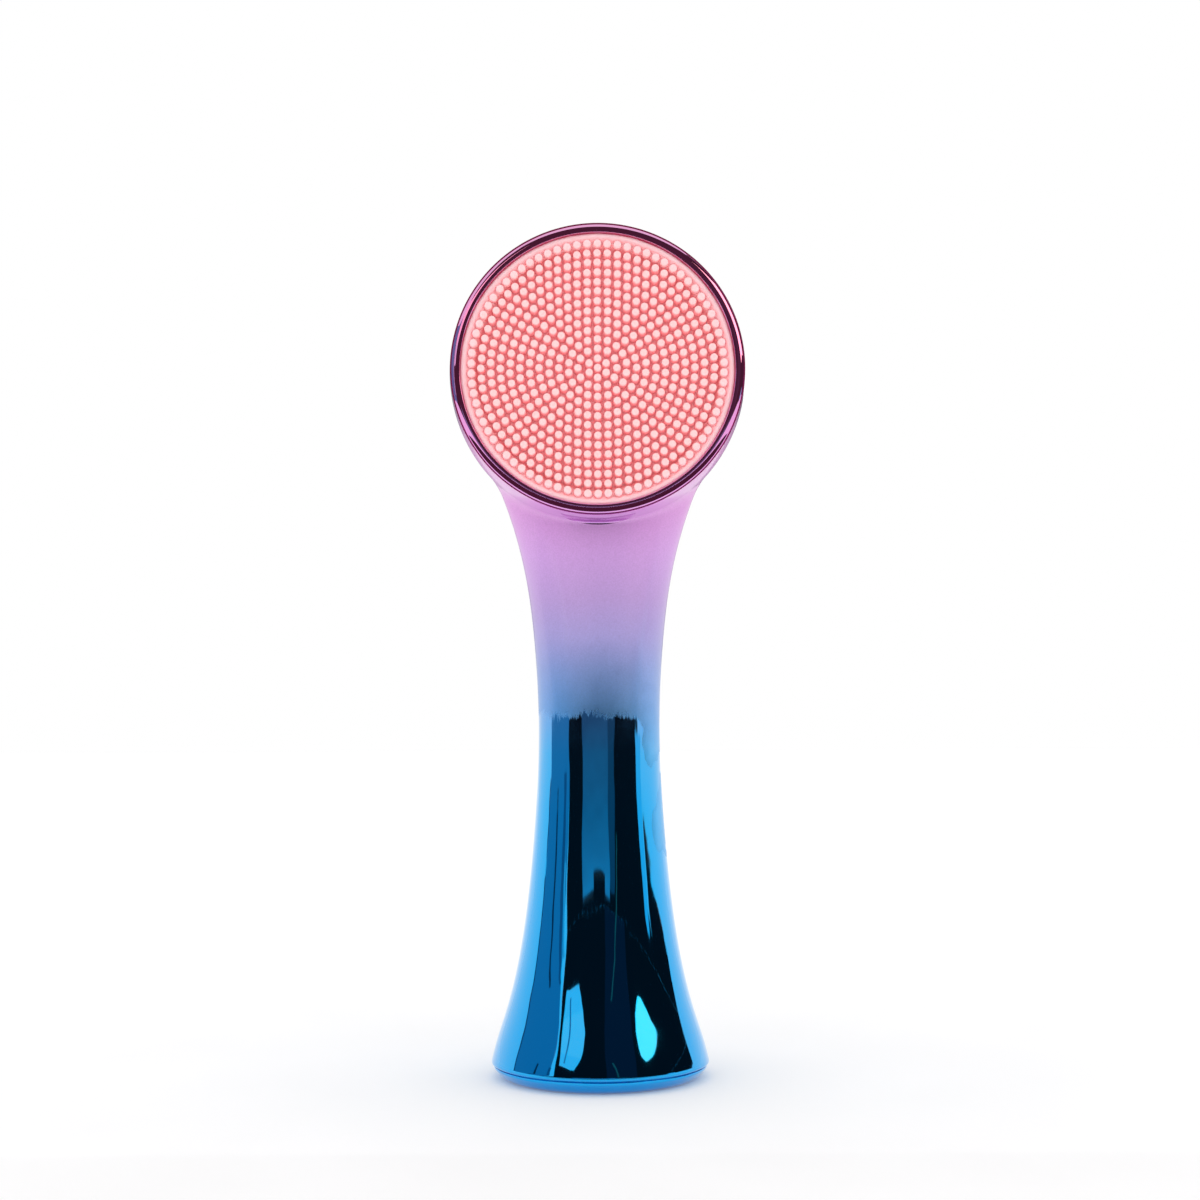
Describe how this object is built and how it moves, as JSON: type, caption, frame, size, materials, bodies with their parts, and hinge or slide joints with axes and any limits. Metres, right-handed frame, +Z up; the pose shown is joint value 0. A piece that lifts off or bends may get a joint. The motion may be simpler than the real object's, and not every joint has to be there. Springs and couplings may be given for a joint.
{
  "type": "facial cleansing brush",
  "caption": "Double-sided facial cleansing brush: flared plated handle that stands on its base, round head with silicone nubs in front and soft fibres under a clear cover behind.",
  "frame": {"origin": "centre of the flat underside that the brush stands on", "axes": "+Z up the handle towards the head, -Y is the silicone side, +Y the fibre side, +X to the right when the silicone side faces the viewer"},
  "size_m": [0.0535, 0.0522, 0.1533],
  "materials": {
    "plated_shell": "mirror plating that shades from pink-violet to azure",
    "plated_cap": "azure mirror plating",
    "weight_steel": "turned and zinc plated",
    "screw_steel": "zinc plated",
    "carrier_plastic": "as moulded",
    "silicone": "satin translucent",
    "block_plastic": "semi-gloss",
    "anchor_wire": "drawn",
    "plated_ring": "pink-violet mirror plating",
    "fibres": "soft fine filaments",
    "clear_cover": "clear and polished"
  },
  "bodies": {
    "body": {"body_shell": "plated_shell", "base_cap": "plated_cap", "counterweight": "weight_steel", "weight_screws": "screw_steel", "pad_carrier": "carrier_plastic", "carrier_screws": "screw_steel", "silicone_pad": "silicone", "brush_block": "block_plastic", "tuft_anchors": "anchor_wire", "brush_ring": "plated_ring", "fibre_bristles": "fibres"},
    "dust_cover": {"dust_cover": "clear_cover"}
  },
  "joints": [
    {"name": "cover_pull", "type": "slide", "parent": "body", "child": "dust_cover", "axis": [0, 1, 0], "range_m": [0, 0.045]}
  ]
}
